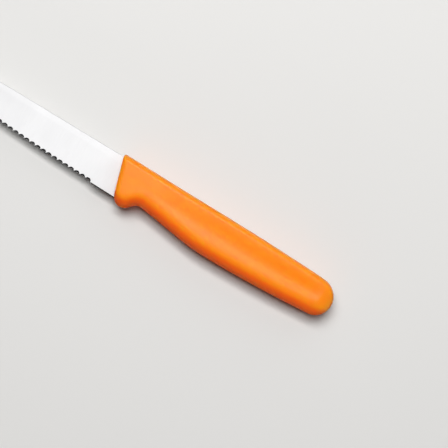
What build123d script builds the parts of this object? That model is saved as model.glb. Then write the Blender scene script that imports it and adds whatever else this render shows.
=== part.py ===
from build123d import *
import os
from math import cos, radians, sin, sqrt, tan

# A tomato knife: a stamped wavy-edged blade, its tang moulded into a plastic handle.
# Lengths are in millimetres and angles in degrees. The knife lies on its side.
# +X runs to the butt, +Y to the spine and +Z up out of the side that faces up.
# The origin is on the surface it lies on, below the middle of its length and width.
# A reach is measured back from the front corner of the handle, and a drop or depth
# is measured in plan from the line of the handle's spine towards the cutting edge.

# Overall lengths
blade_length = 110.0
handle_length = 110.0

# Handle in plan
guard_depth = 20.86
neck_depth = 16.2
belly_depth = 19.75
tail_depth = 16.9
spine_crown = 0.29  # how far the spine bulges past its own line
neck_reach = 17.6
belly_reach = 52.6
butt_round = 8.2  # length of the round end
butt_droop = 0.35  # how far the round end sinks on its way back
front_lean = 17.6  # angle of the front face from square to the spine
front_round = 1.0  # rounding round the front face
toe_round = 2.9  # rounding of the guard's toe

# Handle in section
handle_thickness = 13.0
guard_thickness = 12.6
tail_thickness = 12.0
spine_round = 2.6  # width in plan of the rounding along the spine
belly_round = 5.6  # and of the rounding along the underside
ridge_drop = 0.22  # how far the ridge over the flute is below full thickness
crown_drop = 0.1  # and the side's crown at the flute's place, before the flute
flute_offset = 8.9  # from the spine to the floor of the flute
flute_depth = 0.6

# Blade
blade_thickness = 1.25
edge_thickness = 0.45
blade_drop = 1.42  # of the blade's spine where it leaves the handle
blade_fall = 1.4  # how far the blade's spine sinks by its tip
edge_drop = 18.7
edge_bow = 757.0  # radius of the edge's upward curve
edge_straight = 12.1  # length of the edge before it curves
grind_drop = 4.5  # where the faces start to thin towards the edge
nose_drop = 9.3  # of the foremost point
nose_upper = 13.0  # length of the curve from the spine to the foremost point
nose_lower = 4.6  # and of the curve from the edge to it

# Wavy edge
plain_heel = 6.3  # plain edge before the first wave
heel_bevel = 0.45  # height of the bevel ground along the plain edge
wave_pitch = 2.86
edge_arch = 0.75  # height of each arch along the cutting edge
face_arch = 1.2  # height of the same arch where its bevel meets the blade's face
tip_bevel = 0.3  # height of the bevel at the tips between the arches
wave_skew = 0.15  # how far each arch leans towards the handle, as a share of its width
wave_trim = 0.36  # ground off the plain edge at the tips between the arches

# Tang, hidden in the handle
tang_length = 82.0
tang_width = 9.0
tang_drop = 3.9
tang_round = 1.2
shoulder_reach = 11.0  # where the blade's full width ends
tang_hole = 4.0
tang_hole_count = 3
tang_hole_pitch = 20.0
tang_end = 10.0  # from the last hole to the tang's end

cut_over = 1.5  # overrun of cuts past the faces that they leave

# Handle stations over the front's rounding, in degrees, and over what is left of the
# toe's rounding, as shares of it
front_turns = [0, 22, 44, 66, 90]
toe_shares = [0.33, 0.66, 1]

# Handle stations from the toe to the neck: the share of the way along the spine, the
# share of the way along the underside, and how much of the guard's drop is left there
guard_shares = [
    (0.10, 0.225, 0.923),
    (0.22, 0.383, 0.751),
    (0.38, 0.540, 0.430),
    (0.56, 0.690, 0.170),
    (0.77, 0.850, 0.043),
    (1.00, 1.000, 0.000),
]

# Stations from the neck to the belly: the share of the way, and the shares of the
# belly's swell, the spine's crown and the flute's depth that are reached there
belly_shares = [
    (0.11, 0.14, 0.00, 0.08),
    (0.26, 0.31, 0.02, 0.33),
    (0.51, 0.65, 0.28, 0.55),
    (0.75, 0.93, 0.57, 0.70),
    (1.00, 1.00, 0.80, 0.80),
]

# Stations from the belly to the round end: the share of the way, of the taper below,
# of the spine's crown, of the flute's depth and of the thinning
tail_shares = [
    (0.35, 0.19, 0.86, 0.90, 0.25),
    (0.70, 0.54, 0.00, 1.00, 0.60),
    (0.876, 0.81, -0.52, 1.00, 0.80),
    (0.95, 0.92, -1.00, 0.85, 0.90),
    (1.00, 1.00, -1.55, 0.50, 1.00),
]

# Stations round the end, in degrees, and the share of thickness kept there, as a power
butt_turns = [13, 26, 39, 51, 62, 72, 82]
butt_power = 0.65
butt_share = 0.42  # of its height, for each rounding, where the end is roundest

# Curves of a handle section: how far each reaches towards its corner, as shares, and
# shares of the side for the flute's floor and the widest line
spine_pull = 0.68
side_pull = 0.42
belly_pull = 0.62
floor_share = 0.57
crest_share = 0.08

# Curve of an arch of the wavy edge: a cubic curve reaches this share of its handles'
# height, and its handles stand this share of the arch's width in from its ends
arch_share = 0.75
pull_share = 0.2

# Share of the edge's thickness that the bevel along the plain edge leaves square
land_share = 0.25

# Places worked out from the sizes
corner_x = (blade_length - handle_length) / 2
spine_y = (guard_depth - spine_crown) / 2
middle_z = handle_thickness / 2
tail_reach = handle_length - butt_round
lean = tan(radians(front_lean))
front_share = cos(radians(front_lean))
toe_reach = toe_round / front_share - lean * front_round
grind_slope = (blade_thickness - edge_thickness) / 2 / (edge_drop - grind_drop)


def spot(reach, drop):
    """The plan point this far back from the front corner and this far below the spine."""
    return Vector(corner_x + reach, spine_y - drop)


def upright_plane(high, low):
    """The plane on edge through two plan points, its X from the first to the second."""
    along = (low - high).normalized()
    middle = Vector(high.X, high.Y, middle_z)
    return Plane(origin=middle, x_dir=along, z_dir=along.cross(Vector(0, 0, 1)))


def section(high, low, thickness, flute=0, inset=0, spine_width=None, belly_width=None):
    """The handle's outline in an upright plane through a point of its spine and one below."""
    depth = (low - high).length
    half = thickness / 2 - inset
    spine_width = spine_width or spine_round - inset
    belly_width = belly_width or belly_round - inset
    side_width = depth - spine_width - belly_width
    floor = min(flute_offset, spine_width + side_width * floor_share)
    crest = floor + (spine_width + side_width - floor) * (1 - crest_share)
    drop_share = half / (thickness / 2)
    ridge_half = half - ridge_drop * drop_share
    floor_half = half - crown_drop * drop_share - flute
    with BuildSketch(upright_plane(high, low), mode=Mode.PRIVATE) as outline:
        with BuildLine():
            Bezier(
                (0, 0),
                (0, ridge_half * spine_pull),
                (spine_width * (1 - spine_pull), ridge_half),
                (spine_width, ridge_half),
            )
            Bezier(
                (spine_width, ridge_half),
                (spine_width + (floor - spine_width) * side_pull, ridge_half),
                (floor - (floor - spine_width) * side_pull, floor_half),
                (floor, floor_half),
            )
            Bezier(
                (floor, floor_half),
                (floor + (crest - floor) * side_pull, floor_half),
                (crest - (crest - floor) * side_pull, half),
                (crest, half),
            )
            Bezier(
                (crest, half),
                (crest + (depth - crest) * belly_pull, half),
                (depth, half * belly_pull),
                (depth, 0),
            )
            mirror(about=Plane.XZ)
        make_face()
    return outline.sketch.faces()[0]


def front_sections():
    """From the leaning front face back over the toe's rounding."""
    faces = []
    backs = [front_round * (1 - cos(radians(turn))) for turn in front_turns]
    backs += [front_round + (toe_round - front_round) * share for share in toe_shares]
    for back in backs:
        edge_left = max(front_round - back, 0)
        inset = front_round - sqrt(front_round**2 - edge_left**2)
        lift = toe_round - sqrt(toe_round**2 - (toe_round - back) ** 2)
        start = back / front_share - lean * front_round
        low = guard_depth - lift
        high_spot = spot(start + lean * inset, inset)
        low_spot = spot(start + lean * low, low)
        faces.append(section(high_spot, low_spot, guard_thickness, inset=inset))
    return faces


def guard_sections():
    """From the toe back to the neck."""
    faces = []
    low_start = toe_reach + lean * guard_depth
    for high_share, low_share, guard_left in guard_shares:
        high_spot = spot(toe_reach + (neck_reach - toe_reach) * high_share, 0)
        low = neck_depth + (guard_depth - neck_depth) * guard_left
        low_spot = spot(low_start + (neck_reach - low_start) * low_share, low)
        faces.append(section(high_spot, low_spot, guard_thickness))
    return faces


def belly_sections():
    """From the neck back to the deepest part of the grip."""
    faces = []
    for way, swell, crown, flute in belly_shares:
        reach = neck_reach + (belly_reach - neck_reach) * way
        low = neck_depth + (belly_depth - neck_depth) * swell
        thickness = guard_thickness + (handle_thickness - guard_thickness) * swell
        high_spot = spot(reach, -spine_crown * crown)
        faces.append(section(high_spot, spot(reach, low), thickness, flute_depth * flute))
    return faces


def tail_sections():
    """From the deepest part of the grip back to the round end."""
    faces = []
    for way, taper, crown, flute, thinning in tail_shares:
        reach = belly_reach + (tail_reach - belly_reach) * way
        low = belly_depth + (tail_depth - belly_depth) * taper
        thickness = handle_thickness + (tail_thickness - handle_thickness) * thinning
        high_spot = spot(reach, -spine_crown * crown)
        faces.append(section(high_spot, spot(reach, low), thickness, flute_depth * flute))
    return faces


def butt_sections():
    """Round the end, to the small flat that closes it."""
    faces = []
    high = -spine_crown * tail_shares[-1][2]
    middle = (high + tail_depth) / 2
    half_depth = (tail_depth - high) / 2
    last = sin(radians(butt_turns[-1]))
    for turn in butt_turns:
        back = sin(radians(turn)) / last
        left = cos(radians(turn))
        reach = tail_reach + butt_round * back
        drop = middle + butt_droop * back
        depth = 2 * half_depth * left
        spine_share = spine_round / (2 * half_depth)
        belly_share = belly_round / (2 * half_depth)
        faces.append(
            section(
                spot(reach, drop - depth / 2),
                spot(reach, drop + depth / 2),
                tail_thickness * left**butt_power,
                spine_width=depth * (spine_share + (butt_share - spine_share) * (1 - left)),
                belly_width=depth * (belly_share + (butt_share - belly_share) * (1 - left)),
            )
        )
    return faces


def edge_rise(reach):
    """How far the edge has curved up from its own line, this far ahead of the handle."""
    ahead = max(-reach - edge_straight, 0)
    return ahead**2 / (2 * edge_bow)


def wave_tip(count):
    """The plan point of the cutting edge's tip after this many waves.

    The blade is thicker where the edge has risen, so the tip is ground further up there.
    """
    reach = -plain_heel - wave_pitch * count
    rise = edge_rise(reach)
    thicker = rise * grind_slope / edge_thickness
    return spot(reach, edge_drop - rise - tip_bevel * thicker - wave_trim)


nose_reach = -blade_length
upper_reach = nose_reach + nose_upper
lower_reach = nose_reach + nose_lower
slope = blade_fall / blade_length
wave_count = int((-plain_heel - lower_reach) / wave_pitch)
hole_drop = tang_drop + tang_width / 2


def wave_outline(height):
    """The wavy cutter's outline at a height above the blade's middle.

    On the lower face it is the cutting edge, and on the upper face the bevel's top.
    """
    share = height / edge_thickness + 1 / 2
    arch = edge_arch + (face_arch - edge_arch) * share
    lift = Vector(0, tip_bevel * share)
    below = Vector(0, -edge_drop)
    plane = Plane.XY.offset(middle_z + height)
    with BuildSketch(plane, mode=Mode.PRIVATE) as outline:
        with BuildLine():
            for count in range(wave_count):
                start, end = wave_tip(count) + lift, wave_tip(count + 1) + lift
                run = end - start
                rise = Vector(-run.Y, run.X).normalized() * -arch / arch_share
                Bezier(
                    start,
                    start + run * (pull_share - wave_skew / 2) + rise,
                    end - run * (pull_share + wave_skew / 2) + rise,
                    end,
                )
            first, last = wave_tip(0) + lift, wave_tip(wave_count) + lift
            nose_front = last + run.normalized() * nose_upper
            heel_back = spot(shoulder_reach, edge_drop - heel_bevel * (share - land_share))
            heel_front = Vector(first.X, heel_back.Y)
            Polyline(
                last,
                nose_front,
                nose_front + below,
                heel_back + below,
                heel_back,
                heel_front,
                first,
            )
        make_face()
    return outline.sketch.faces()[0]


front_high = spot(-lean * front_round, 0)
front_plane = upright_plane(front_high, front_high + Vector(lean, -1) * guard_depth)

# The blade, from its tip to the end of its hidden tang
with BuildPart() as blade:
    with BuildSketch(Plane.XY.offset(middle_z)):
        with BuildLine():
            heel = spot(shoulder_reach, edge_drop)
            straight = spot(-edge_straight, edge_drop)
            low_nose = spot(lower_reach, edge_drop - edge_rise(lower_reach))
            nose = spot(nose_reach, nose_drop)
            high_nose = spot(upper_reach, blade_drop - slope * upper_reach)
            top = spot(shoulder_reach, blade_drop - slope * shoulder_reach)
            Line(heel, straight)
            bow = Vector(-1, 0)
            edge = TangentArc(straight, low_nose, tangent=bow)
            Spline(low_nose, nose, tangents=[edge % 1, (0, 1)])
            Spline(nose, high_nose, tangents=[(0, 1), (1, slope)])
            Line(high_nose, top)
            Line(top, heel)
        make_face()
    extrude(amount=blade_thickness / 2, both=True)
    with BuildSketch(Plane.XY.offset(middle_z)):
        with BuildLine():
            Polyline(
                spot(shoulder_reach - tang_round, tang_drop),
                spot(tang_length, tang_drop),
                spot(tang_length, tang_drop + tang_width),
                spot(shoulder_reach - tang_round, tang_drop + tang_width),
                close=True,
            )
        make_face()
    extrude(amount=blade_thickness / 2, both=True)
    upright_edges = blade.edges().filter_by(Axis.Z)
    fillet(upright_edges.group_by(Axis.X)[-1], radius=tang_width / 3)
    shoulder_edges = upright_edges.filter_by(
        lambda edge: abs(edge.center().X - spot(shoulder_reach, 0).X) < tang_round / 4
    )
    fillet(shoulder_edges, radius=tang_round)
    with Locations(*[
        spot(tang_length - tang_end - tang_hole_pitch * count, hole_drop)
        + Vector(0, 0, middle_z + blade_thickness / 2)
        for count in range(tang_hole_count)
    ]):
        Hole(radius=tang_hole / 2)
    with BuildSketch(front_plane):
        with BuildLine():
            start = Vector(grind_drop / front_share, blade_thickness / 2)
            low = (edge_drop + cut_over) / front_share
            thinned = grind_slope * (edge_drop + cut_over - grind_drop)
            end = Vector(low, blade_thickness / 2 - thinned)
            clear = Vector(0, cut_over)
            Polyline(start, end, end + clear, start + clear, close=True)
        make_face()
        mirror(about=Plane.XZ)
    extrude(amount=blade_length + lean * guard_depth, dir=(-1, 0, 0), mode=Mode.SUBTRACT)
    wave_height = edge_thickness / 2 + cut_over / 3
    loft([wave_outline(-wave_height), wave_outline(wave_height)], ruled=True, mode=Mode.SUBTRACT)

with BuildPart() as handle:
    front = front_sections()
    grip = front[-1:] + guard_sections() + belly_sections() + tail_sections()
    butt = grip[-1:] + butt_sections()
    for stretch in (front, grip, butt):
        loft(stretch)
    add(blade.part, mode=Mode.SUBTRACT)

os.makedirs("parts", exist_ok=True)
blade.part.label = "blade"
export_step(blade.part, "parts/blade.step")
handle.part.label = "handle"
export_step(handle.part, "parts/handle.step")
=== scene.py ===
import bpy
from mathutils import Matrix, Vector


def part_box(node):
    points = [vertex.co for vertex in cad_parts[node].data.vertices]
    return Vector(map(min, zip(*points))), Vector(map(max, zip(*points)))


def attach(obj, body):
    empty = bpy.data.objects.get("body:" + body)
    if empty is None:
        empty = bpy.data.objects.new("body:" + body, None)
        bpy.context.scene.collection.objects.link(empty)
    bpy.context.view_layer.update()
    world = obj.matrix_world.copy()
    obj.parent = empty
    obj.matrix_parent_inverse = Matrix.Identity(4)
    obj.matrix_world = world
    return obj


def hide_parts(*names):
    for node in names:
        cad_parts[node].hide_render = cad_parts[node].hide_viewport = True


bl_info = {
    "name": "Tomato Knife",
    "version": (1, 0, 0),
    "blender": (4, 5, 0),
    "location": "View3D > Sidebar > Knife",
    "description": "Dresses a wavy-edged tomato knife with its moulded handle and ground steel",
    "category": "Object",
}

from math import ceil, cos, radians, sin, sqrt, tan

import bmesh
import bpy
from bpy.props import FloatProperty, FloatVectorProperty, PointerProperty
from mathutils import Matrix, Vector

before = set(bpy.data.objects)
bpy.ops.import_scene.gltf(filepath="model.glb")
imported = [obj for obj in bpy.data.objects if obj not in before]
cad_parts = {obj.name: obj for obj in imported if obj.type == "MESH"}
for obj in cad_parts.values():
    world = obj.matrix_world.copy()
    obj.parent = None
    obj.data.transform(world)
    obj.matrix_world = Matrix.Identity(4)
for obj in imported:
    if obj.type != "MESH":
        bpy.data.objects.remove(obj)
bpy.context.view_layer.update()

# The frame gives the places that everything else hangs from: metres, +X to the butt,
# +Y to the spine, +Z up out of the side that faces up
MM = 0.001
HANDLE_LOW, HANDLE_HIGH = (Vector(corner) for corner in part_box("handle"))
BLADE_LOW, BLADE_HIGH = (Vector(corner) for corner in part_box("blade"))
MIDDLE_Z = (BLADE_LOW.z + BLADE_HIGH.z) / 2
SPINE_CROWN = 0.29 * MM  # how far the spine bulges past its own line
EDGE_DROP = 18.7  # from the spine's line to the plain edge, in millimetres
FRONT_BULGE = 0.05 * MM  # how far the front's rounding bulges ahead of its corner
SPINE_Y = BLADE_LOW.y + EDGE_DROP * MM
CORNER_X = HANDLE_LOW.x + FRONT_BULGE

# Handle stations, as in the solid: shares of the lengths that they follow.
# From the toe to the neck: the share of the way along the spine, the share of the way
# underneath, and how much of the guard's drop is left there
GUARD_SHARES = [
    (0.10, 0.225, 0.923),
    (0.22, 0.383, 0.751),
    (0.38, 0.540, 0.430),
    (0.56, 0.690, 0.170),
    (0.77, 0.850, 0.043),
    (1.00, 1.000, 0.000),
]

# From the neck to the belly: the share of the way, and the shares of the belly's swell,
# the spine's crown and the flute's depth that are reached there
BELLY_SHARES = [
    (0.11, 0.14, 0.00, 0.08),
    (0.26, 0.31, 0.02, 0.33),
    (0.51, 0.65, 0.28, 0.55),
    (0.75, 0.93, 0.57, 0.70),
    (1.00, 1.00, 0.80, 0.80),
]

# From the belly to the round end: the share of the way, of the taper below, of the
# spine's crown, of the flute's depth and of the thinning
TAIL_SHARES = [
    (0.35, 0.19, 0.86, 0.90, 0.25),
    (0.70, 0.54, 0.00, 1.00, 0.60),
    (0.876, 0.81, -0.52, 1.00, 0.80),
    (0.95, 0.92, -1.00, 0.85, 0.90),
    (1.00, 1.00, -1.55, 0.50, 1.00),
]

# Over the round end: its turns in degrees, the power by which its thickness falls with its
# depth, and the share of its depth that each of its two roundings grows to
BUTT_TURNS = [13, 26, 39, 51, 62, 72, 82, 88]
BUTT_POWER = 0.65
BUTT_SHARE = 0.42

# Over the front's rounding, its turns in degrees, and over the rest of the toe's, its steps
FRONT_TURNS = range(0, 91, 9)
TOE_STEPS = 6

# Curves of a handle section: how far their inner points lie towards the corner, as shares,
# and the number of points on each
SPINE_PULL, SIDE_PULL, BELLY_PULL = 0.68, 0.42, 0.62
SPINE_STEPS, SIDE_STEPS, BELLY_STEPS = 12, 8, 16

# The share of the side that the flute's floor never passes, and where the widest line
# lies, as a share of the way from that floor to the rounding below
FLOOR_SHARE, WIDEST_SHARE = 0.57, 0.92

STATION_SPACING = 0.8 * MM  # the most that lies between two stations behind the toe
SIDE_CLEARANCE = 0.01 * MM  # of the handle's flat sides, inside the solid's

# Columns of the blade: the turns of the tang's rounded end and of the nose in degrees,
# the places inside the handle, and the step between two that make a corner
TANG_TURNS = range(90, -1, -15)
NOSE_TURNS = (*range(0, 86, 5), 87.5)
HIDDEN_COLUMNS = (8 * MM, 7 * MM, 3.5 * MM)
CORNER_STEP = 0.02 * MM

# Columns across one wave, as shares of it: closer together where the arch is steep
WAVE_COLUMNS = (0, 0.03, 0.08, 0.15, 0.24, 0.34, 0.45, 0.56, 0.67, 0.77, 0.86, 0.93, 0.975)

GRIND_START = 7.5 * MM  # how far inside the handle the faces start to be ground
BEVEL_CLEAR = 2.2 * MM  # above the edge, where the bevels no longer move the face
BEVEL_FULL = 3 * MM  # the height of the blade below which the bevels fade out
BEVEL_POINT = 0.33  # the bevel's inner points, as a share of half the thickness

# What the blank's points carry for the grinding tree, and what its faces carry: whether
# they are stamped rim, ground bevel or ground face
POINT_MARKS = ("side", "follow", "ground")
FACE_MARK = "zone"
RIM, BEVEL, FACE = 0, 1, 2

HALVINGS = 40  # that find a place on the nose's curve
MERGE_DISTANCE = 0.002 * MM  # of points that the grinding brings together
SHORTEST_EDGE = 0.001 * MM
CREASE_ANGLE = radians(22)  # from which the ground faces meet in a crisp line

FLOOR_HALF = 0.8  # half the floor's side, in metres
CAMERA_DISTANCE = 0.6  # above the knife's middle, in metres

# The lamps: name, lean from upright towards the spine in degrees, distance from the line
# along the knife and place on it, towards the butt, in metres, the lamp's two sides in
# metres, and its power in watts
LAMPS = (
    ("softbox", 17.5, 1.2, -0.20, (0.70, 0.62), 11.7),
    ("key", 28, 1.3, -0.20, (0.66, 0.25), 4.0),
    ("window", 62, 1.4, 0, (1.8, 0.8), 4.0),
    ("tip_side", 22, 1.3, -0.75, (0.25, 0.5), 2.8),
    ("butt_side", 26, 1.3, 1.4, (0.4, 0.6), 3.2),
    ("low_fill", -84, 1.4, 0, (1.6, 0.24), 3.8),
    ("end_fill", -80, 0.5, 1.5, (1.0, 0.15), 3.0),
)


def linear(hex_colour):
    """An sRGB hex colour as linear red, green, blue and alpha."""
    values = [int(hex_colour[i : i + 2], 16) / 255 for i in (1, 3, 5)]
    return [v / 12.92 if v <= 0.04045 else ((v + 0.055) / 1.055) ** 2.4 for v in values] + [1]


def length(name, millimetres, description):
    """A size that a user can change, given here in millimetres."""
    return FloatProperty(
        name=name,
        description=description,
        default=millimetres * MM,
        min=0,
        unit="LENGTH",
        precision=5,
    )


def colour(name, hex_colour, description):
    """A colour that a user can change, given here as sRGB hex."""
    return FloatVectorProperty(
        name=name,
        description=description,
        default=linear(hex_colour),
        size=4,
        min=0,
        max=1,
        subtype="COLOR",
    )


class KnifeHandleSizes(bpy.types.PropertyGroup):
    neck_depth: length("Neck depth", 16.2, "Depth in plan behind the finger guard")
    belly_depth: length("Belly depth", 19.75, "Depth in plan where the grip is deepest")
    tail_depth: length("Tail depth", 16.9, "Depth in plan where the round end starts")
    neck_reach: length("Neck reach", 17.6, "From the front corner back to the neck")
    belly_reach: length("Belly reach", 52.6, "From the front corner back to the belly")
    butt_round: length("Round end", 8.2, "Length of the round end")
    butt_droop: length("End droop", 0.35, "How far the round end sinks on its way back")
    front_round: length("Front rounding", 1.0, "Rounding round the front face")
    front_sides: length("Front side rounding", 1.4, "Depth of that rounding on the two sides")
    front_run: length("Front run", 2.8, "How far back that rounding runs on the two sides")
    toe_round: length("Toe rounding", 2.9, "Rounding of the guard's toe")
    guard_thickness: length("Guard thickness", 12.6, "Thickness at the finger guard")
    tail_thickness: length("Tail thickness", 12.0, "Thickness where the round end starts")
    spine_round: length("Spine rounding", 2.6, "Width in plan of the rounding on top")
    belly_round: length("Belly rounding", 5.6, "Width in plan of the rounding below")
    ridge_drop: length("Ridge drop", 0.22, "How far the ridge is below full thickness")
    crown_drop: length("Crown drop", 0.1, "Fall of the side at the flute's place")
    flute_offset: length("Flute offset", 8.9, "From the spine to the flute's floor")
    flute_depth: length("Flute depth", 0.6, "Depth of the flute along each side")
    front_lean: FloatProperty(
        name="Front lean",
        description="Angle of the front face from square to the spine",
        default=radians(17.6),
        subtype="ANGLE",
    )


class KnifeBladeSizes(bpy.types.PropertyGroup):
    thickness: length("Thickness", 1.25, "Of the steel, up to where it is ground thinner")
    edge_thickness: length("Edge thickness", 0.45, "Left by the grind along the edge")
    spine_drop: length("Spine drop", 1.42, "From the handle's spine to the blade's")
    spine_fall: length("Spine fall", 1.4, "How far the blade's spine sinks by its tip")
    edge_drop: length("Edge drop", EDGE_DROP, "From the handle's spine to the plain edge")
    edge_bow: length("Edge bow", 757, "Radius of the edge's upward curve")
    edge_straight: length("Straight edge", 12.1, "Length of the edge before it curves")
    grind_drop: length("Grind line", 4.5, "From the handle's spine to where the grind starts")
    nose_drop: length("Nose drop", 9.3, "From the handle's spine to the foremost point")
    nose_upper: length("Nose, upper", 13.0, "Length of the curve from the spine to the nose")
    nose_lower: length("Nose, lower", 4.6, "Length of the curve from the edge to the nose")
    rim: length("Rim", 0.12, "Worn corner along the stamped edges")
    plain_heel: length("Plain heel", 6.75, "Plain edge before the first wave")
    heel_bevel: length("Heel bevel", 0.34, "Height of the bevel along the plain edge")
    wave_pitch: length("Wave pitch", 2.86, "From each wave to the next")
    wave_trim: length("Wave trim", 0.36, "From the plain edge up to the waves' tips")
    edge_arch: length("Edge arch", 0.75, "Height of each arch along the cutting edge")
    face_arch: length("Face arch", 1.2, "Height of the arch on the face that shows")
    tip_bevel: length("Tip bevel", 0.12, "Height of the bevel at the tips between arches")
    tang_length: length("Tang length", 82, "From the handle's front corner to the tang's end")
    tang_width: length("Tang width", 9, "Of the part that the handle hides")
    tang_drop: length("Tang drop", 3.9, "From the handle's spine to the tang")
    shoulder: length("Shoulder", 11, "Where the blade's full width ends in the handle")
    arch_lean: FloatProperty(
        name="Arch lean",
        description="How far each arch leans towards the handle",
        default=0.23,
        subtype="FACTOR",
    )
    arch_roundness: FloatProperty(
        name="Arch roundness",
        description="Power of the arch: 1 is a parabola and 0.5 an ellipse",
        default=0.66,
        subtype="FACTOR",
    )


class KnifeFinishes(bpy.types.PropertyGroup):
    handle_orange: colour("Handle", "#FF8D05", "The plastic's own orange")
    # Painted shade: the finger side's deeper orange stands in for the flank turning from the
    # light
    handle_painted_shade: colour("Handle, finger side", "#FF6200", "The deeper orange underneath")
    blade_face: colour("Blade face", "#CCCCCD", "The ground faces of the blade")
    # Painted shade: the waves' steel is painted near black so that the bevels read dark
    waves_painted_dark: colour("Ground waves", "#161618", "The coarse ground bevels of the waves")
    blade_rim: colour("Blade rim", "#B4B4B5", "The stamped edges of the blade")
    floor_pale: colour("Floor", "#D6D5D3", "The plain floor")


def add_node(tree, kind, links=None, **settings):
    """Add a node with its settings, and join or set its inputs by name or number."""
    node = tree.nodes.new(kind)
    for name, value in settings.items():
        setattr(node, name, value)
    for name, value in (links or {}).items():
        socket = node.inputs[name]
        if isinstance(value, bpy.types.NodeSocket):
            tree.links.new(value, socket)
        else:
            socket.default_value = value
    return node


def new_material(name):
    """A node material, and its empty tree."""
    material = bpy.data.materials.new(name)
    material.use_nodes = True
    material.node_tree.nodes.clear()
    return material, material.node_tree


def drawn_lines(tree, place, spacing, detail):
    """Noise stretched into lines, from its grain's sizes along X, Y and Z in millimetres."""
    stretch = add_node(tree, "ShaderNodeMapping", {
        "Vector": place, "Scale": [1 / (size * MM) for size in spacing],
    })
    return add_node(tree, "ShaderNodeTexNoise", {
        "Vector": stretch.outputs["Vector"], "Scale": 1.0, "Detail": detail,
    }).outputs["Fac"]


def moulded_polypropylene(finishes):
    """Polypropylene, moulded against a spark-eroded tool: satin, with a fine even grain."""
    material, tree = new_material("moulded_polypropylene")
    place = add_node(tree, "ShaderNodeTexCoord").outputs["Object"]
    # Spark-eroded grain is about 0.12 mm; drawn at 0.3 mm so that it shows in the render
    grain = add_node(tree, "ShaderNodeTexNoise", {
        "Vector": place, "Scale": 1 / (0.3 * MM), "Detail": 2.0, "Roughness": 0.6,
    })
    # The orange is painted deeper and redder along the finger side, as painted shade for the
    # flank that turns away from the light, and the melt's slow swirls, about 14 mm wide, hardly
    # shift it
    shade_share = add_node(tree, "ShaderNodeAttribute", attribute_name="finger_side_shade")
    deeper = add_node(tree, "ShaderNodeMapRange", {
        "Value": shade_share.outputs["Fac"], "From Min": 0.12, "From Max": 0.6,
        "To Min": 0.0, "To Max": 0.9,
    }, interpolation_type="SMOOTHSTEP")
    swirl = add_node(tree, "ShaderNodeTexNoise", {
        "Vector": place, "Scale": 1 / (14 * MM), "Detail": 3.0, "Distortion": 0.6,
    })
    share = add_node(tree, "ShaderNodeMath", {
        0: swirl.outputs["Fac"], 1: 0.1, 2: deeper.outputs["Result"],
    }, operation="MULTIPLY_ADD")
    blend = add_node(tree, "ShaderNodeMix", {
        "Factor": share.outputs[0],
        "A": finishes.handle_orange,
        "B": finishes.handle_painted_shade,
    }, data_type="RGBA")
    # Handling polishes patches about 6 mm wide, and least on the finger side
    polish = add_node(tree, "ShaderNodeTexNoise", {
        "Vector": place, "Scale": 1 / (6 * MM), "Detail": 4.0,
    })
    gloss = add_node(tree, "ShaderNodeMapRange", {
        "Value": polish.outputs["Fac"], "From Min": 0.3, "From Max": 0.7,
        "To Min": 0.38, "To Max": 0.45,
    })
    gloss = add_node(tree, "ShaderNodeMath", {
        0: deeper.outputs["Result"], 1: 0.25, 2: gloss.outputs["Result"],
    }, operation="MULTIPLY_ADD")
    bump = add_node(tree, "ShaderNodeBump", {
        "Height": grain.outputs["Fac"], "Strength": 0.25, "Distance": 0.02 * MM,
    })
    shader = add_node(tree, "ShaderNodeBsdfPrincipled", {
        "Base Color": blend.outputs["Result"],
        "Roughness": gloss.outputs[0],
        "IOR": 1.49,
        "Specular IOR Level": 0.22,
        "Subsurface Weight": 0.8,
        "Subsurface Radius": (1.0, 0.12, 0.02),
        "Subsurface Scale": 10 * MM,
        "Normal": bump.outputs["Normal"],
    })
    add_node(tree, "ShaderNodeOutputMaterial", {"Surface": shader.outputs["BSDF"]})
    return material


def fine_ground_steel(finishes):
    """Martensitic stainless steel, ground across the blade on a fine belt: a pale even
    sheen that stretches along the lines."""
    material, tree = new_material("fine_ground_stainless")
    place = add_node(tree, "ShaderNodeTexCoord").outputs["Object"]
    # A 400 grit belt leaves lines 0.03 mm apart: drawn 0.15 mm apart, and 6 mm long
    lines = drawn_lines(tree, place, (0.15, 6, 6), 3.0)
    # Wiping leaves broad faint patches, about 25 mm wide
    patches = add_node(tree, "ShaderNodeTexNoise", {
        "Vector": place, "Scale": 1 / (25 * MM), "Detail": 2.0,
    }).outputs["Fac"]
    mixed = add_node(tree, "ShaderNodeMath", {0: lines, 1: patches}, operation="ADD")
    gloss = add_node(tree, "ShaderNodeMapRange", {
        "Value": mixed.outputs[0], "From Min": 0.7, "From Max": 1.3,
        "To Min": 0.66, "To Max": 0.74,
    })
    bump = add_node(tree, "ShaderNodeBump", {
        "Height": lines, "Strength": 0.10, "Distance": 0.01 * MM,
    })
    shader = add_node(tree, "ShaderNodeBsdfPrincipled", {
        "Base Color": finishes.blade_face,
        "Metallic": 1.0,
        "Roughness": gloss.outputs["Result"],
        "Normal": bump.outputs["Normal"],
    })
    add_node(tree, "ShaderNodeOutputMaterial", {"Surface": shader.outputs["BSDF"]})
    return material


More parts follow.
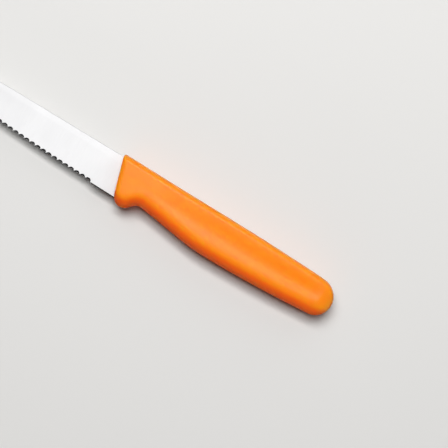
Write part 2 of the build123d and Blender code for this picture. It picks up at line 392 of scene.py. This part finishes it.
def bevel_steel_painted_dark(finishes):
    """The same steel where a shaped wheel cut the waves, with coarse lines that run off the
    edge; its colour is painted near black, as painted shade, so that the bevels look
    dark beside the face."""
    material, tree = new_material("coarse_ground_stainless_painted_dark")
    place = add_node(tree, "ShaderNodeTexCoord").outputs["Object"]
    # A 120 grit wheel leaves lines about 0.12 mm apart, here 3 mm long
    lines = drawn_lines(tree, place, (0.12, 3, 3), 2.0)
    shade = add_node(tree, "ShaderNodeMapRange", {
        "Value": lines, "From Min": 0.3, "From Max": 0.7, "To Min": 0.7, "To Max": 1.3,
    }).outputs["Result"]
    # Painted shade: the bevel's steel colour is near black, where the real steel is pale
    dark = add_node(tree, "ShaderNodeVectorMath", {
        0: finishes.waves_painted_dark[:3], 1: shade,
    }, operation="MULTIPLY").outputs[0]
    bump = add_node(tree, "ShaderNodeBump", {
        "Height": lines, "Strength": 0.4, "Distance": 0.02 * MM,
    })
    shader = add_node(tree, "ShaderNodeBsdfPrincipled", {
        "Base Color": dark,
        "Metallic": 1.0,
        "Roughness": 0.42,
        "Normal": bump.outputs["Normal"],
    })
    add_node(tree, "ShaderNodeOutputMaterial", {"Surface": shader.outputs["BSDF"]})
    return material


def stamped_rim_steel(finishes):
    """The same steel where the press cut it: duller, with short upright drag marks."""
    material, tree = new_material("stamped_stainless")
    place = add_node(tree, "ShaderNodeTexCoord").outputs["Object"]
    # Drag marks of the cutting tool, about 0.1 mm apart along the rim and 2 mm long
    marks = drawn_lines(tree, place, (0.1, 0.1, 2), 2.0)
    gloss = add_node(tree, "ShaderNodeMapRange", {
        "Value": marks, "From Min": 0.3, "From Max": 0.7, "To Min": 0.38, "To Max": 0.55,
    })
    bump = add_node(tree, "ShaderNodeBump", {
        "Height": marks, "Strength": 0.2, "Distance": 0.02 * MM,
    })
    shader = add_node(tree, "ShaderNodeBsdfPrincipled", {
        "Base Color": finishes.blade_rim,
        "Metallic": 1.0,
        "Roughness": gloss.outputs["Result"],
        "Normal": bump.outputs["Normal"],
    })
    add_node(tree, "ShaderNodeOutputMaterial", {"Surface": shader.outputs["BSDF"]})
    return material


def cubic(start, first, second, end, steps):
    """Points along a cubic curve, without its last one."""
    points = []
    for step in range(steps):
        t = step / steps
        points.append(
            start * (1 - t) ** 3
            + first * 3 * t * (1 - t) ** 2
            + second * 3 * t**2 * (1 - t)
            + end * t**3
        )
    return points


# A station is one section of the handle, on edge between a point of its spine and one
# below. It is a row of values: the reach and drop of both, half the thickness, the flute's
# depth, the widths in plan of the two roundings, and how sharp its ridges are, from 1 to 0.


def section_ring(sizes, station):
    """A station's points, from the spine over the side that faces up and back underneath.

    Each comes with how far round the finger side it is, from 0 to 1, which fades out
    over the butt: the share of painted shade that the plastic darkens there.
    """
    high_reach, high_drop, low_reach, low_drop, half, flute, spine, belly, sharp = station
    high = Vector((CORNER_X + high_reach, SPINE_Y - high_drop))
    low = Vector((CORNER_X + low_reach, SPINE_Y - low_drop))
    depth = (low - high).length
    along = (low - high).normalized()
    side = depth - spine - belly
    floor = min(sizes.flute_offset, spine + side * FLOOR_SHARE)
    crest = floor + (spine + side - floor) * WIDEST_SHARE
    ridge = Vector((spine, half - sizes.ridge_drop * sharp))
    hollow = Vector((floor, half - sizes.crown_drop * sharp - flute))
    widest = Vector((crest, half))
    top = Vector((0, 0))
    bottom = Vector((depth, 0))
    across = Vector((1, 0))
    up = Vector((0, 1))
    pull = across * spine * SPINE_PULL
    outline = cubic(top, up * ridge.y * SPINE_PULL, ridge - pull, ridge, SPINE_STEPS)
    pull = across * (floor - spine) * SIDE_PULL
    outline += cubic(ridge, ridge + pull, hollow - pull, hollow, SIDE_STEPS)
    pull = across * (crest - floor) * SIDE_PULL
    outline += cubic(hollow, hollow + pull, widest - pull, widest, SIDE_STEPS)
    pull = across * (depth - crest) * BELLY_PULL
    lower = bottom + up * half * BELLY_PULL
    outline += cubic(widest, widest + pull, lower, bottom, BELLY_STEPS)
    outline.append(bottom)
    points = []
    for point in outline + [Vector((p.x, -p.y)) for p in reversed(outline[1:-1])]:
        plan = high + along * point.x
        # How far round the finger side, which sets the painted shade there
        shade_share = sharp * max(point.x - crest, 0) / (depth - crest)
        points.append((Vector((plan.x, plan.y, MIDDLE_Z + point.y)), shade_share))
    return points


def front_stations(sizes, guard_depth):
    """Stations over the front's rounding and the toe's."""
    lean = tan(sizes.front_lean)
    front, toe = sizes.front_round, sizes.toe_round
    backs = [front * (1 - cos(radians(turn))) for turn in FRONT_TURNS]
    backs += [front + (toe - front) * (step + 1) / TOE_STEPS for step in range(TOE_STEPS)]
    stations = []
    for back in backs:
        edge_left = max(front - back, 0)
        inset = front - sqrt(front**2 - edge_left**2)
        run_left = max(1 - back / sizes.front_run, 0)
        side_inset = sizes.front_sides * (1 - sqrt(1 - run_left**2))
        lift = toe - sqrt(max(toe**2 - (toe - back) ** 2, 0))
        start = back / cos(sizes.front_lean) - lean * front
        high = (start + lean * inset, inset)
        low = (start + lean * (guard_depth - lift), guard_depth - lift)
        half = sizes.guard_thickness / 2 - side_inset
        rounds = (sizes.spine_round - inset, sizes.belly_round - inset)
        stations.append((*high, *low, half, 0, *rounds, 1))
    return stations


def grip_stations(sizes, guard_depth):
    """Stations from the toe to the start of the round end."""
    lean = tan(sizes.front_lean)
    rounds = (sizes.spine_round, sizes.belly_round)
    toe_reach = sizes.toe_round / cos(sizes.front_lean) - lean * sizes.front_round
    low_start = toe_reach + lean * guard_depth
    thick = (HANDLE_HIGH.z - HANDLE_LOW.z) / 2 - SIDE_CLEARANCE
    guard_thick = sizes.guard_thickness / 2
    tail_thick = sizes.tail_thickness / 2
    tail_reach = HANDLE_HIGH.x - CORNER_X - sizes.butt_round
    stations = []
    for high_share, low_share, left in GUARD_SHARES:
        high = (toe_reach + (sizes.neck_reach - toe_reach) * high_share, 0)
        low_drop = sizes.neck_depth + (guard_depth - sizes.neck_depth) * left
        low = (low_start + (sizes.neck_reach - low_start) * low_share, low_drop)
        stations.append((*high, *low, guard_thick, 0, *rounds, 1))
    for way, swell, crown, flute in BELLY_SHARES:
        reach = sizes.neck_reach + (sizes.belly_reach - sizes.neck_reach) * way
        high = (reach, -SPINE_CROWN * crown)
        low = (reach, sizes.neck_depth + (sizes.belly_depth - sizes.neck_depth) * swell)
        half = guard_thick + (thick - guard_thick) * swell
        stations.append((*high, *low, half, sizes.flute_depth * flute, *rounds, 1))
    for way, taper, crown, flute, thinning in TAIL_SHARES:
        reach = sizes.belly_reach + (tail_reach - sizes.belly_reach) * way
        high = (reach, -SPINE_CROWN * crown)
        low = (reach, sizes.belly_depth + (sizes.tail_depth - sizes.belly_depth) * taper)
        half = thick + (tail_thick - thick) * thinning
        stations.append((*high, *low, half, sizes.flute_depth * flute, *rounds, 1))
    return stations


def butt_stations(sizes, tail):
    """Stations over the round end, from the last one of the grip."""
    reach, high_drop, _, low_drop, half, _, *rounds, _ = tail
    middle = (high_drop + low_drop) / 2
    full_depth = low_drop - high_drop
    shares = [width / full_depth for width in rounds]
    stations = []
    for turn in BUTT_TURNS:
        back, left = sin(radians(turn)), cos(radians(turn))
        here = reach + sizes.butt_round * back
        drop = middle + sizes.butt_droop * back
        depth = full_depth * left
        widths = [depth * (share + (BUTT_SHARE - share) * (1 - left)) for share in shares]
        high, low = (here, drop - depth / 2), (here, drop + depth / 2)
        stations.append((*high, *low, half * left**BUTT_POWER, 0, *widths, left))
    return stations


def smoothed(stations, spacing):
    """Stations close together on one smooth run through the given ones."""
    places = [0.0]
    for before, after in zip(stations, stations[1:]):
        top = sqrt((after[0] - before[0]) ** 2 + (after[1] - before[1]) ** 2)
        bottom = sqrt((after[2] - before[2]) ** 2 + (after[3] - before[3]) ** 2)
        places.append(places[-1] + (top + bottom) / 2)
    slopes = []
    for index in range(len(stations)):
        before, after = max(index - 1, 0), min(index + 1, len(stations) - 1)
        span = places[after] - places[before]
        slopes.append([(b - a) / span for a, b in zip(stations[before], stations[after])])
    result = []
    for index, span in enumerate(b - a for a, b in zip(places, places[1:])):
        ends = (stations[index], slopes[index], stations[index + 1], slopes[index + 1])
        steps = ceil(span / spacing)
        for step in range(steps):
            t = step / steps
            a, b = 2 * t**3 - 3 * t**2 + 1, t**3 - 2 * t**2 + t
            c, d = 3 * t**2 - 2 * t**3, t**3 - t**2
            result.append(
                [a * p + b * span * m + c * q + d * span * n for p, m, q, n in zip(*ends)]
            )
    result.append(stations[-1])
    return result


def skin(rings, name):
    """A closed mesh over rings of points, its two ends filled."""
    mesh = bpy.data.meshes.new(name)
    work = bmesh.new()
    # The share of painted shade on the finger side, which the plastic reads
    finger_side_shade = work.verts.layers.float.new("finger_side_shade")
    rows = []
    for ring in rings:
        rows.append([])
        for point, shade_share in ring:
            rows[-1].append(work.verts.new(point))
            rows[-1][-1][finger_side_shade] = shade_share
    for before, after in zip(rows, rows[1:]):
        count = len(before)
        for index in range(count):
            following = (index + 1) % count
            work.faces.new(
                (before[index], before[following], after[following], after[index])
            )
    for row in (rows[0], rows[-1]):
        middle = work.verts.new(sum((vert.co for vert in row), Vector()) / len(row))
        for index, vert in enumerate(row):
            work.faces.new((vert, row[(index + 1) % len(row)], middle))
    bmesh.ops.recalc_face_normals(work, faces=work.faces)
    for face in work.faces:
        face.smooth = True
    work.to_mesh(mesh)
    work.free()
    return mesh


def add_piece(name, mesh):
    """An object for a mesh, riding on the knife."""
    piece = bpy.data.objects.new(name, mesh)
    bpy.context.scene.collection.objects.link(piece)
    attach(piece, "root")
    return piece


class KNIFE_OT_handle(bpy.types.Operator):
    """Skin the moulded handle over its sections and give it its plastic"""

    bl_idname = "knife.handle"
    bl_label = "Moulded Handle"

    def execute(self, context):
        sizes = context.scene.knife_handle
        guard_depth = SPINE_Y - HANDLE_LOW.y
        front = front_stations(sizes, guard_depth)
        grip = grip_stations(sizes, guard_depth)
        butt = butt_stations(sizes, grip[-1])
        stations = front + smoothed(front[-1:] + grip + butt, STATION_SPACING)[1:]
        mesh = skin([section_ring(sizes, station) for station in stations], "handle_grip")
        mesh.materials.append(moulded_polypropylene(context.scene.knife_finishes))
        piece = add_piece("handle_grip", mesh)
        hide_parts("handle")
        return {"FINISHED"}


# The sums of the grinding tree. Each is a name, an operation and its terms, which are
# numbers, inputs of the tree or earlier names.
GRINDING_SUMS = (
    # Which wave a point is under, and how far along it, from 0 to 1
    ("ahead", "SUBTRACT", "First Wave", "x"),
    ("wave", "DIVIDE", "ahead", "Wave Pitch"),
    ("along", "FRACT", "wave"),
    # The arch leans towards the handle, and rises steeply from its two tips
    ("to go", "SUBTRACT", 1.0, "along"),
    ("lean", "MULTIPLY", "along", "to go"),
    ("leant", "MULTIPLY_ADD", "lean", "Arch Lean", "along"),
    ("leant to go", "SUBTRACT", 1.0, "leant"),
    ("hump", "MULTIPLY", "leant", "leant to go"),
    ("full hump", "MULTIPLY", "hump", 4.0),
    ("round hump", "POWER", "full hump", "Arch Roundness"),
    # There is no arch on the heel or past the last wave. The first wave's own first column
    # counts as part of it.
    ("past heel", "GREATER_THAN", "wave", -0.001),
    ("before nose", "LESS_THAN", "wave", "Wave Count"),
    ("waved", "MULTIPLY", "past heel", "before nose"),
    ("arch", "MULTIPLY", "round hump", "waved"),
    # How far the bevel's foot and its top are ground up from the edge's line
    ("foot", "MULTIPLY", "arch", "Edge Arch"),
    ("on heel", "SUBTRACT", 1.0, "past heel"),
    ("heel top", "MULTIPLY", "on heel", "Heel Bevel"),
    ("plain top", "MULTIPLY_ADD", "past heel", "Tip Bevel", "heel top"),
    ("top", "MULTIPLY_ADD", "arch", "Face Arch", "plain top"),
    ("up the bevel", "MULTIPLY_ADD", "side", 0.5, 0.5),
    ("bevel", "SUBTRACT", "top", "foot"),
    ("rise", "MULTIPLY_ADD", "bevel", "up the bevel", "foot"),
    ("new y", "MULTIPLY_ADD", "rise", "follow", "y"),
    # The faces thin from the grind line down to the edge
    ("below line", "SUBTRACT", "Grind Line", "new y"),
    ("grind", "MAXIMUM", "below line", 0.0),
    ("thinning", "MULTIPLY", "grind", "Grind Slope"),
    ("thinning here", "MULTIPLY", "thinning", "ground"),
    ("half", "SUBTRACT", "Half Thickness", "thinning here"),
    ("new z", "MULTIPLY_ADD", "side", "half", "Middle"),
)


def edge_line(sizes, reach):
    """The drop of the waves' tips, this far back from the handle's front corner."""
    rise = max(-reach - sizes.edge_straight, 0) ** 2 / (2 * sizes.edge_bow)
    return sizes.edge_drop - sizes.wave_trim - rise


def nose_curve(start, slant, end, reach):
    """The drop at a reach, on the curve that leaves start at a slant and ends upright.

    Its inner points lie a third of the straight way from its ends, and the place that
    has this reach is found by halving.
    """
    pull = sqrt((end[0] - start[0]) ** 2 + (end[1] - start[1]) ** 2) / 3
    down = pull if end[1] < start[1] else -pull
    reaches = (start[0], start[0] - pull, end[0], end[0])
    drops = (start[1], start[1] + slant * pull, end[1] + down, end[1])
    low, high = 0.0, 1.0
    for _ in range(HALVINGS):
        t = (low + high) / 2
        shares = ((1 - t) ** 3, 3 * t * (1 - t) ** 2, 3 * t**2 * (1 - t), t**3)
        here = sum(share * value for share, value in zip(shares, reaches))
        low, high = (t, high) if here > reach else (low, t)
    return sum(share * value for share, value in zip(shares, drops))


def blade_columns(sizes, blade_length, wave_count):
    """The blank's columns, from the tang's end to the nose: reach, spine and edge drops."""
    columns = []
    end_round = sizes.tang_width / 3
    tang_low = sizes.tang_drop + sizes.tang_width
    for turn in TANG_TURNS:
        reach = sizes.tang_length - end_round * (1 - sin(radians(turn)))
        cut = end_round * (1 - cos(radians(turn)))
        columns.append((reach, sizes.tang_drop + cut, tang_low - cut))
    columns.append((sizes.shoulder + CORNER_STEP, sizes.tang_drop, tang_low))
    slope = sizes.spine_fall / blade_length
    first = -sizes.plain_heel
    heel = (0, first / 2, first + CORNER_STEP)
    for reach in (sizes.shoulder, *HIDDEN_COLUMNS, *heel):
        columns.append((reach, sizes.spine_drop - slope * reach, sizes.edge_drop))
    last = first - wave_count * sizes.wave_pitch
    reaches = [
        first - sizes.wave_pitch * (count + share)
        for count in range(wave_count)
        for share in WAVE_COLUMNS
    ]
    nose = -blade_length
    reaches += [last + (nose - last) * sin(radians(turn)) for turn in NOSE_TURNS]
    high_start = nose + sizes.nose_upper
    high = (high_start, sizes.spine_drop - slope * high_start)
    low_start = nose + sizes.nose_lower
    low = (low_start, edge_line(sizes, low_start) + sizes.wave_trim)
    low_slant = (low_start + sizes.edge_straight) / sizes.edge_bow
    tip = (nose, sizes.nose_drop)
    for reach in reaches:
        spine, edge = sizes.spine_drop - slope * reach, edge_line(sizes, reach)
        if reach < high_start:
            spine = nose_curve(high, slope, tip, reach)
        if reach < low_start:
            edge = min(edge, nose_curve(low, low_slant, tip, reach))
        columns.append((reach, spine, edge))
    return columns


def column_points(sizes, spine, edge):
    """A column's drops, sides from 1 above to -1 below, shares of the bevel's grinding
    that they follow, and what the face from each point to the next is."""
    rim = min(sizes.rim, (edge - spine) / 4)
    corner = 1 - 2 * sizes.rim / sizes.thickness
    line = max(sizes.grind_drop, spine + rim)
    clear = max(edge - BEVEL_CLEAR, line)
    bevelled = min((edge - spine) / BEVEL_FULL, 1)
    return (
        (spine, -corner, 0, RIM),
        (spine, corner, 0, RIM),
        (spine + rim, 1, 0, FACE),
        (line, 1, 0, FACE),
        ((line + clear) / 2, 1, 0, FACE),
        (clear, 1, 0, FACE),
        (edge, 1, bevelled, BEVEL),
        (edge, BEVEL_POINT, bevelled, BEVEL),
        (edge, -BEVEL_POINT, bevelled, BEVEL),
        (edge, -1, bevelled, FACE),
        (clear, -1, 0, FACE),
        ((line + clear) / 2, -1, 0, FACE),
        (line, -1, 0, FACE),
        (spine + rim, -1, 0, RIM),
    )


def blade_blank(sizes, columns):
    """The flat blank, its points carrying what the grinding tree reads."""
    work = bmesh.new()
    layers = [work.verts.layers.float.new(name) for name in POINT_MARKS]
    zone = work.faces.layers.int.new(FACE_MARK)
    rings = []
    for reach, spine, edge in columns:
        ring = []
        for drop, side, follow, kind in column_points(sizes, spine, edge):
            place = (CORNER_X + reach, SPINE_Y - drop, side * sizes.thickness / 2)
            vert = work.verts.new(place)
            ground = 1 if reach < GRIND_START else 0
            for layer, value in zip(layers, (side, follow * ground, ground)):
                vert[layer] = value
            ring.append((vert, kind))
        rings.append(ring)
    for before, after in zip(rings, rings[1:]):
        for index, (vert, kind) in enumerate(before):
            following = (index + 1) % len(before)
            face = work.faces.new(
                (vert, before[following][0], after[following][0], after[index][0])
            )
            face[zone] = kind
    for ring in (rings[0], rings[-1]):
        work.faces.new([vert for vert, kind in ring])
    mesh = bpy.data.meshes.new("ground_blade")
    work.to_mesh(mesh)
    work.free()
    return mesh


def grinding_tree(values):
    """The tree that grinds the blank's faces thinner and its edge into waves."""
    tree = bpy.data.node_groups.new("blade_grinding", "GeometryNodeTree")
    tree.interface.new_socket(name="Blank", in_out="INPUT", socket_type="NodeSocketGeometry")
    tree.interface.new_socket(name="Blade", in_out="OUTPUT", socket_type="NodeSocketGeometry")
    for name, value in values.items():
        kind = "Material" if isinstance(value, bpy.types.Material) else "Float"
        tree.interface.new_socket(name=name, in_out="INPUT", socket_type="NodeSocket" + kind)
    blank = add_node(tree, "NodeGroupInput").outputs
    place = add_node(tree, "ShaderNodeSeparateXYZ", {
        "Vector": add_node(tree, "GeometryNodeInputPosition").outputs["Position"],
    }).outputs
    terms = {"x": place["X"], "y": place["Y"]}
    for name in values:
        terms[name] = blank[name]
    for name in (*POINT_MARKS, FACE_MARK):
        terms[name] = add_node(
            tree, "GeometryNodeInputNamedAttribute", {"Name": name}, data_type="FLOAT"
        ).outputs["Attribute"]
    for name, operation, *parts in GRINDING_SUMS:
        links = {index: terms.get(part, part) for index, part in enumerate(parts)}
        terms[name] = add_node(tree, "ShaderNodeMath", links, operation=operation).outputs[0]
    ground = add_node(tree, "ShaderNodeCombineXYZ", {
        "X": terms["x"], "Y": terms["new y"], "Z": terms["new z"],
    })
    blade = add_node(tree, "GeometryNodeSetPosition", {
        "Geometry": blank["Blank"], "Position": ground.outputs["Vector"],
    }).outputs["Geometry"]
    blade = add_node(tree, "GeometryNodeRealizeInstances", {"Geometry": blade}).outputs[0]
    blade = add_node(tree, "GeometryNodeSetMaterial", {
        "Geometry": blade, "Material": blank["Face Steel"],
    }).outputs["Geometry"]
    for kind, name in ((RIM, "Rim Steel"), (BEVEL, "Bevel Steel")):
        chosen = add_node(
            tree, "ShaderNodeMath", {0: terms[FACE_MARK], 1: kind, 2: 0.5}, operation="COMPARE"
        )
        blade = add_node(tree, "GeometryNodeSetMaterial", {
            "Geometry": blade, "Selection": chosen.outputs[0], "Material": blank[name],
        }).outputs["Geometry"]
    add_node(tree, "NodeGroupOutput", {"Blade": blade})
    return tree


def ground_mesh(blank, tree, values):
    """The blank's mesh as the grinding tree leaves it, merged closed."""
    holder = bpy.data.objects.new("blank", blank)
    bpy.context.scene.collection.objects.link(holder)
    modifier = holder.modifiers.new("grinding", "NODES")
    modifier.node_group = tree
    for item in tree.interface.items_tree:
        if item.in_out == "INPUT" and item.name in values:
            modifier[item.identifier] = values[item.name]
    seen = holder.evaluated_get(bpy.context.evaluated_depsgraph_get())
    mesh = bpy.data.meshes.new_from_object(seen)
    mesh.name = "ground_blade"
    holder.modifiers.clear()
    bpy.data.objects.remove(holder)
    bpy.data.meshes.remove(blank)
    work = bmesh.new()
    work.from_mesh(mesh)
    bmesh.ops.remove_doubles(work, verts=work.verts, dist=MERGE_DISTANCE)
    bmesh.ops.dissolve_degenerate(work, edges=work.edges, dist=SHORTEST_EDGE)
    bmesh.ops.recalc_face_normals(work, faces=work.faces)
    for face in work.faces:
        face.smooth = face.material_index > 0
    for edge in work.edges:
        edge.smooth = edge.calc_face_angle(0) < CREASE_ANGLE
    if not all(edge.is_manifold for edge in work.edges):
        raise RuntimeError("the blade's mesh isn't closed")
    work.to_mesh(mesh)
    work.free()
    for name in (*POINT_MARKS, FACE_MARK):
        mesh.attributes.remove(mesh.attributes[name])
    return mesh


class KNIFE_OT_blade(bpy.types.Operator):
    """Stamp the blade's blank and grind its faces and its wavy edge"""

    bl_idname = "knife.blade"
    bl_label = "Ground Blade"

    def execute(self, context):
        sizes = context.scene.knife_blade
        finishes = context.scene.knife_finishes
        blade_length = CORNER_X - BLADE_LOW.x
        nose_start = blade_length - sizes.nose_lower
        wave_count = int((nose_start - sizes.plain_heel) / sizes.wave_pitch)
        thinning = (sizes.thickness - sizes.edge_thickness) / 2
        values = {
            "First Wave": CORNER_X - sizes.plain_heel,
            "Wave Pitch": sizes.wave_pitch,
            "Wave Count": float(wave_count),
            "Edge Arch": sizes.edge_arch,
            "Face Arch": sizes.face_arch,
            "Tip Bevel": sizes.tip_bevel,
            "Heel Bevel": sizes.heel_bevel,
            "Arch Lean": sizes.arch_lean,
            "Arch Roundness": sizes.arch_roundness,
            "Half Thickness": sizes.thickness / 2,
            "Grind Line": SPINE_Y - sizes.grind_drop,
            "Grind Slope": thinning / (sizes.edge_drop - sizes.grind_drop),
            "Middle": MIDDLE_Z,
            "Rim Steel": stamped_rim_steel(finishes),
            "Face Steel": fine_ground_steel(finishes),
            "Bevel Steel": bevel_steel_painted_dark(finishes),
        }
        blank = blade_blank(sizes, blade_columns(sizes, blade_length, wave_count))
        mesh = ground_mesh(blank, grinding_tree(values), values)
        piece = add_piece("ground_blade", mesh)
        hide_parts("blade")
        return {"FINISHED"}


def shown_rays(tree):
    """1 where the camera sees it, straight, in metal or through glass, and otherwise 0."""
    rays = add_node(tree, "ShaderNodeLightPath").outputs
    shown = rays["Is Camera Ray"]
    for name in ("Is Glossy Ray", "Is Transmission Ray"):
        shown = add_node(
            tree, "ShaderNodeMath", {0: shown, 1: rays[name]}, operation="MAXIMUM"
        ).outputs[0]
    return shown


def painted_board(finishes):
    """Board with a pale matt paint, which throws little light back up at the knife."""
    material, tree = new_material("painted_board")
    shade = add_node(tree, "ShaderNodeMix", {
        "Factor": shown_rays(tree),
        "A": linear("#5A5957"),
        "B": finishes.floor_pale,
    }, data_type="RGBA")
    shader = add_node(tree, "ShaderNodeBsdfPrincipled", {
        "Base Color": shade.outputs["Result"], "Roughness": 0.8,
    })
    add_node(tree, "ShaderNodeOutputMaterial", {"Surface": shader.outputs["BSDF"]})
    return material


def studio_world():
    """A pale backdrop all round, which lights the knife hardly at all."""
    world = bpy.data.worlds.new("studio")
    world.use_nodes = True
    tree = world.node_tree
    tree.nodes.clear()
    fill = add_node(tree, "ShaderNodeBackground", {"Color": (1, 1, 1, 1), "Strength": 0.01})
    back = add_node(tree, "ShaderNodeBackground", {
        "Color": linear("#E4E3E1"), "Strength": 0.55,
    })
    mix = add_node(tree, "ShaderNodeMixShader", {
        0: shown_rays(tree), 1: fill.outputs["Background"], 2: back.outputs["Background"],
    })
    add_node(tree, "ShaderNodeOutputWorld", {"Surface": mix.outputs["Shader"]})
    return world


def add_softbox(name, place, aim, size, power):
    """An oblong area lamp aimed at a point, its first side level."""
    lamp = bpy.data.lights.new(name, "AREA")
    lamp.shape = "RECTANGLE"
    lamp.size, lamp.size_y = size
    lamp.energy = power
    holder = bpy.data.objects.new(name, lamp)
    holder.location = place
    holder.visible_camera = False
    look = (place - aim).normalized()
    level = (Vector((1, 0, 0)) - look * look.x).normalized()
    holder.rotation_euler = Matrix((level, look.cross(level), look)).transposed().to_euler()
    bpy.context.scene.collection.objects.link(holder)


class KNIFE_OT_stage(bpy.types.Operator):
    """Lay the floor, hang the lamps and set up the camera"""

    bl_idname = "knife.stage"
    bl_label = "Stage"

    def execute(self, context):
        scene = context.scene
        half = FLOOR_HALF
        mesh = bpy.data.meshes.new("floor")
        corners = [(-half, -half, 0), (half, -half, 0), (half, half, 0), (-half, half, 0)]
        mesh.from_pydata(corners, [], [(0, 1, 2, 3)])
        mesh.materials.append(painted_board(scene.knife_finishes))
        floor = bpy.data.objects.new("floor", mesh)
        scene.collection.objects.link(floor)
        scene.world = studio_world()

        # The photograph's shadow lies along the knife's edge only, so the lamps hang over
        # the knife and its spine's side. Two near the floor light the finger side and the
        # butt, and hardly the shadow. All point a little behind the knife's middle.
        aim = Vector((0.02, 0, 0))
        for name, lean, reach, side, size, power in LAMPS:
            away = Vector((side / reach, sin(radians(lean)), cos(radians(lean))))
            add_softbox(name, aim + away * reach, aim, size, power)

        # The picture's middle is this far back from the handle's front corner and this
        # far below its spine, its width at the knife's middle is this long, and the
        # knife's length points right in it and this far down
        middle_reach, middle_drop, picture_width = 52.0 * MM, 3.15 * MM, 193.8 * MM
        turn = radians(32)
        camera = bpy.data.cameras.new("camera")
        camera.sensor_width = 36
        camera.lens = camera.sensor_width * CAMERA_DISTANCE / picture_width
        holder = bpy.data.objects.new("camera", camera)
        holder.location = (
            CORNER_X + middle_reach, SPINE_Y - middle_drop, MIDDLE_Z + CAMERA_DISTANCE,
        )
        holder.rotation_euler = (0, 0, turn)
        scene.collection.objects.link(holder)
        scene.camera = holder
        scene.view_settings.view_transform = "Standard"
        return {"FINISHED"}


class KNIFE_PT_panel(bpy.types.Panel):
    """Sizes, finishes and the steps that make the knife"""

    bl_idname = "KNIFE_PT_panel"
    bl_label = "Tomato Knife"
    bl_space_type = "VIEW_3D"
    bl_region_type = "UI"
    bl_category = "Knife"

    def draw(self, context):
        scene = context.scene
        for group in (scene.knife_handle, scene.knife_blade, scene.knife_finishes):
            box = self.layout.box()
            for name in group.bl_rna.properties.keys():
                if name not in ("rna_type", "name"):
                    box.prop(group, name)
        for step in STEPS:
            self.layout.operator(step.bl_idname)


STEPS = (KNIFE_OT_stage, KNIFE_OT_handle, KNIFE_OT_blade)
CLASSES = (KnifeHandleSizes, KnifeBladeSizes, KnifeFinishes, *STEPS, KNIFE_PT_panel)


def register():
    for kind in CLASSES:
        bpy.utils.register_class(kind)
    bpy.types.Scene.knife_handle = PointerProperty(type=KnifeHandleSizes)
    bpy.types.Scene.knife_blade = PointerProperty(type=KnifeBladeSizes)
    bpy.types.Scene.knife_finishes = PointerProperty(type=KnifeFinishes)


def unregister():
    del bpy.types.Scene.knife_finishes
    del bpy.types.Scene.knife_blade
    del bpy.types.Scene.knife_handle
    for kind in reversed(CLASSES):
        bpy.utils.unregister_class(kind)


def main():
    register()
    bpy.ops.knife.stage()
    bpy.ops.knife.handle()
    bpy.ops.knife.blade()


if __name__ == "__main__":
    main()
